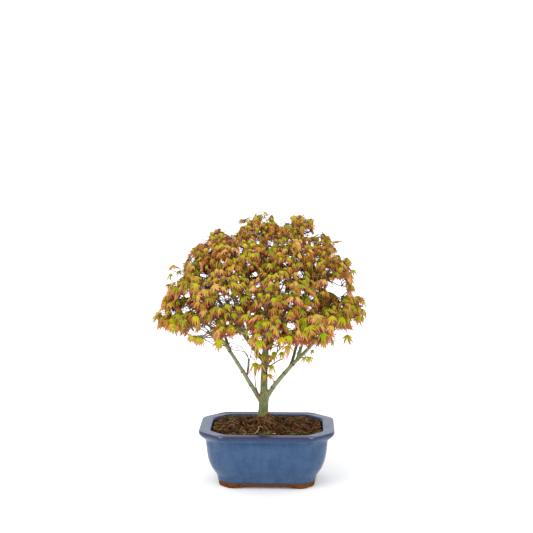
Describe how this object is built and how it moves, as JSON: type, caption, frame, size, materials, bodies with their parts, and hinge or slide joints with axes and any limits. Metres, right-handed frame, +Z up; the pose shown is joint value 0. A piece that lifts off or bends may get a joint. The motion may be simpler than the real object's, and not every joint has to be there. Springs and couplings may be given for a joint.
{
  "type": "potted japanese maple bonsai",
  "caption": "Young japanese maple grown as a bonsai: an upright trunk, rising boughs and a domed crown of lobed leaves, in a footed, glazed oblong pot full of soil.",
  "frame": {"origin": "bottom centre of the whole plant's bounding box, on the surface that the pot's feet stand on", "axes": "+Z up, +X to the right along the pot's long side, -Y towards the front"},
  "size_m": [0.3272, 0.293, 0.4087],
  "materials": {
    "glaze": "glossy blue glaze, thin and brown on the rim's edges",
    "clay": "unglazed, matt",
    "soil": "loose and fibrous, matt",
    "bark": "smooth young bark, satin",
    "leaves": "thin leaves, satin"
  },
  "bodies": {
    "root": {"bough_back": "bark", "bough_front": "bark", "bough_left": "bark", "bough_left_inner": "bark", "bough_right": "bark", "bough_right_inner": "bark", "branch_fork": "bark", "branch_high_left": "bark", "branch_high_left_back": "bark", "branch_high_left_front": "bark", "branch_high_right": "bark", "branch_high_right_back": "bark", "branch_high_right_front": "bark", "branch_low_left_back": "bark", "branch_low_left_front": "bark", "branch_low_right_back": "bark", "branch_low_right_front": "bark", "branch_mid_back": "bark", "branch_mid_front": "bark", "branch_mid_left_back": "bark", "branch_mid_left_front": "bark", "branch_mid_right_back": "bark", "branch_top_right": "bark", "branch_trunk": "bark", "foliage_fork": "leaves", "foliage_high_left": "leaves", "foliage_high_left_back": "leaves", "foliage_high_left_front": "leaves", "foliage_high_right": "leaves", "foliage_high_right_back": "leaves", "foliage_high_right_front": "leaves", "foliage_low_back": "leaves", "foliage_low_front": "leaves", "foliage_low_left": "leaves", "foliage_low_left_back": "leaves", "foliage_low_left_front": "leaves", "foliage_low_right": "leaves", "foliage_low_right_back": "leaves", "foliage_low_right_front": "leaves", "foliage_mid_back": "leaves", "foliage_mid_front": "leaves", "foliage_mid_left": "leaves", "foliage_mid_left_back": "leaves", "foliage_mid_left_front": "leaves", "foliage_mid_right": "leaves", "foliage_mid_right_back": "leaves", "foliage_top": "leaves", "foliage_top_right": "leaves", "foliage_trunk": "leaves", "pot_base": "clay", "pot_body": "glaze", "pot_foot_back_left": "clay", "pot_foot_back_right": "clay", "pot_foot_front_left": "clay", "pot_foot_front_right": "clay", "soil": "soil", "trunk": "bark"}
  },
  "joints": []
}
